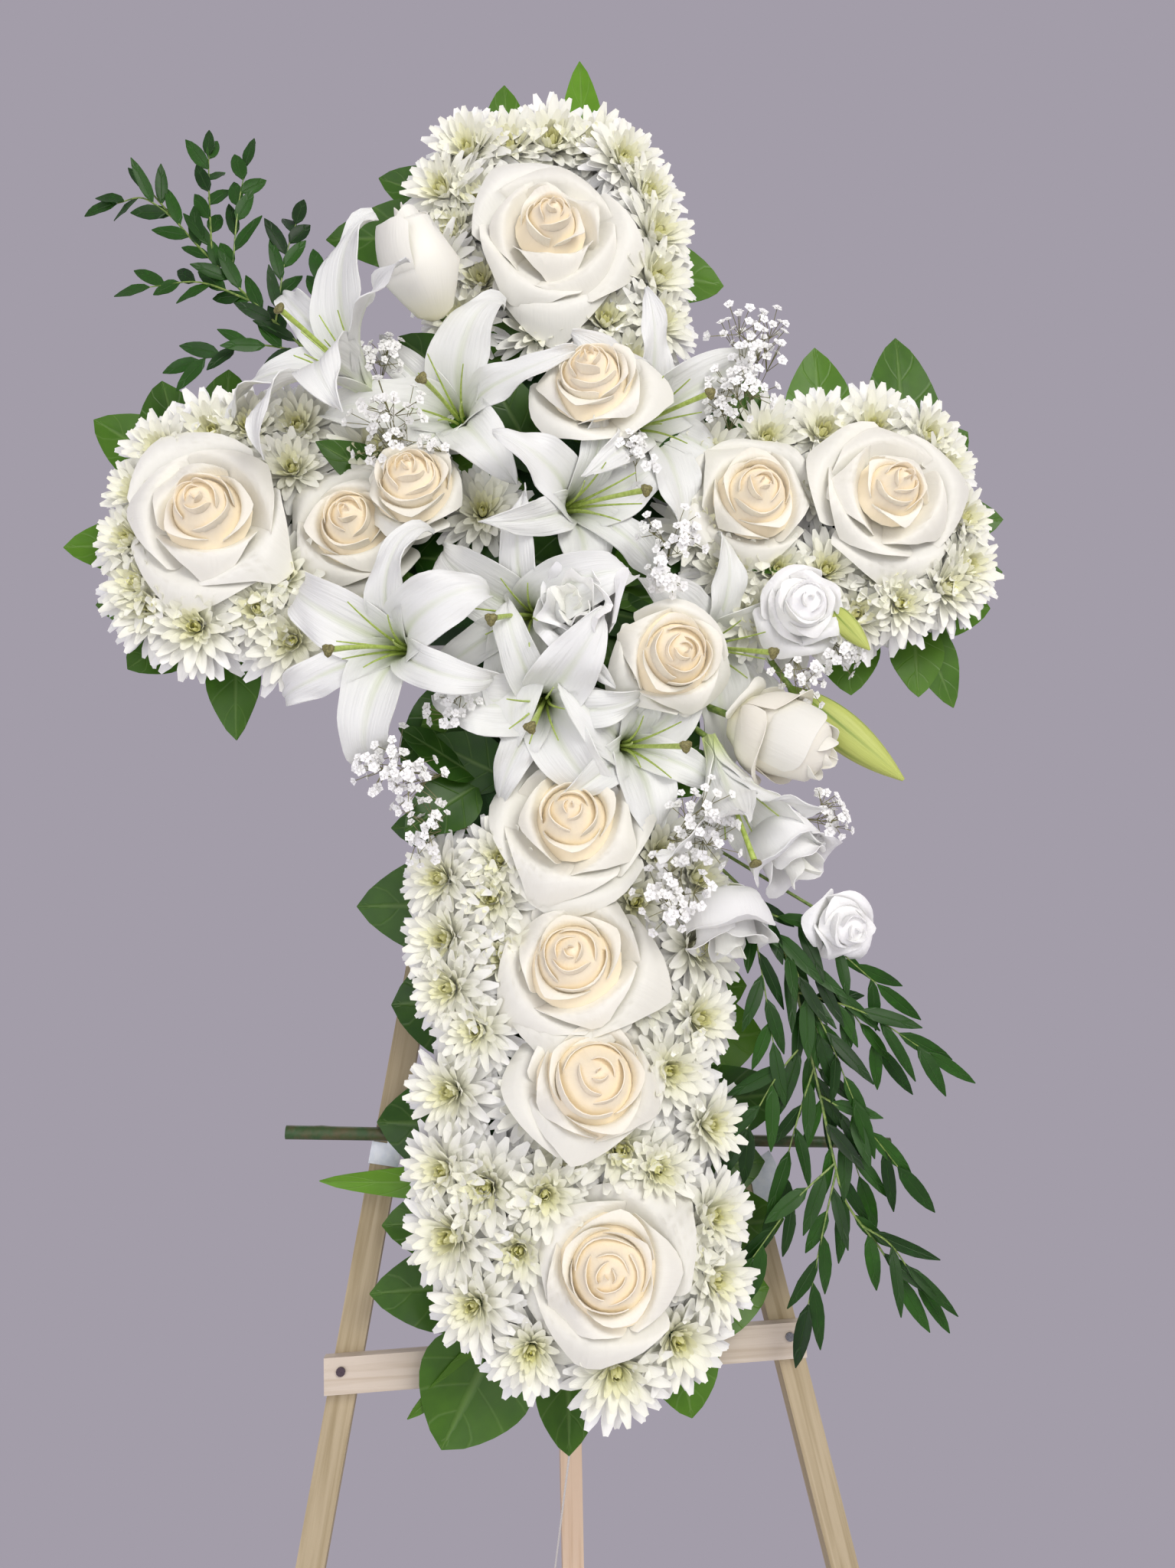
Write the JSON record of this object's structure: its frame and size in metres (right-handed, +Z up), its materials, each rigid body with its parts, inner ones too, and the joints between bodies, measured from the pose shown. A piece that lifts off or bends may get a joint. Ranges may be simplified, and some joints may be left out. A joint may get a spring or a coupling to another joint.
{
  "type": "standing funeral cross",
  "caption": "White flower cross on block foam, tied to the front of a folding three-legged wooden easel that leans back on a hinged rear leg.",
  "frame": {"origin": "on the floor under the middle of the object's bounding box", "axes": "+Z up, -Y towards the viewer in front of the cross, +X to the viewer's right"},
  "size_m": [0.754, 0.4794, 1.7249],
  "materials": {
    "wood": "matte",
    "rear_wood": "matte",
    "steel": "satin",
    "cord": "matte",
    "tape": "satin",
    "green_stick": "matte",
    "backing_board": "matte",
    "floral_foam": "matte",
    "rose_petal": "satin",
    "lily_petal": "satin",
    "lily_bud": "satin",
    "lisianthus_petal": "satin",
    "chrysanthemum": "matte",
    "gypsophila": "matte",
    "salal_leaf": "satin",
    "ruscus_leaf": "satin"
  },
  "bodies": {
    "front_frame": {"front_leg_left": "wood", "front_leg_right": "wood", "ledge_bar": "wood", "ledge_nail_left": "steel", "ledge_nail_right": "steel", "apex_block": "wood", "hinge_leaf_front": "steel", "hinge_pin": "steel", "stay_eye_ledge": "steel", "support_stick": "green_stick", "tape_left": "tape", "tape_right": "tape", "cross_backing": "backing_board", "foam_cross": "floral_foam", "leaf_collar": "salal_leaf", "mum_bed_top": "chrysanthemum", "mum_bed_left": "chrysanthemum", "mum_bed_right": "chrysanthemum", "mum_bed_column": "chrysanthemum", "gypsophila_left": "gypsophila", "gypsophila_right": "gypsophila", "gypsophila_lower": "gypsophila", "ruscus_upper_left": "ruscus_leaf", "ruscus_trailing": "ruscus_leaf", "stay_cord": "cord", "lily_top_left": "lily_petal", "lily_upper_left": "lily_petal", "lily_upper_right": "lily_petal", "lily_centre": "lily_petal", "lily_lower_left": "lily_petal", "lily_middle": "lily_petal", "lily_low_left": "lily_petal", "lily_low_right": "lily_petal", "lily_half_open": "lily_petal", "lily_right_hidden": "lily_petal", "lily_bud_large": "lily_bud", "lily_bud_small": "lily_bud", "lisianthus_centre": "lisianthus_petal", "lisianthus_right": "lisianthus_petal", "lisianthus_side": "lisianthus_petal", "lisianthus_outer": "lisianthus_petal", "lisianthus_hanging": "lisianthus_petal", "rose_top": "rose_petal", "rose_bud_top_left": "rose_petal", "rose_upper_centre": "rose_petal", "rose_left_end": "rose_petal", "rose_left_inner": "rose_petal", "rose_left_small": "rose_petal", "rose_right_inner": "rose_petal", "rose_right_end": "rose_petal", "rose_right_lower": "rose_petal", "rose_column_first": "rose_petal", "rose_column_second": "rose_petal", "rose_column_third": "rose_petal", "rose_column_last": "rose_petal", "rose_bud_lying": "rose_petal"},
    "rear_support": {"rear_leg": "rear_wood", "hinge_leaf_rear": "steel", "stay_eye_rear": "steel"}
  },
  "joints": [
    {"name": "rear_leg_fold", "type": "hinge", "parent": "front_frame", "child": "rear_support", "pos_m": [0.01, 0.06143, 1.43958], "axis": [-1, 0, 0], "range_deg": [0, 14], "deforming": ["stay_cord"]}
  ]
}
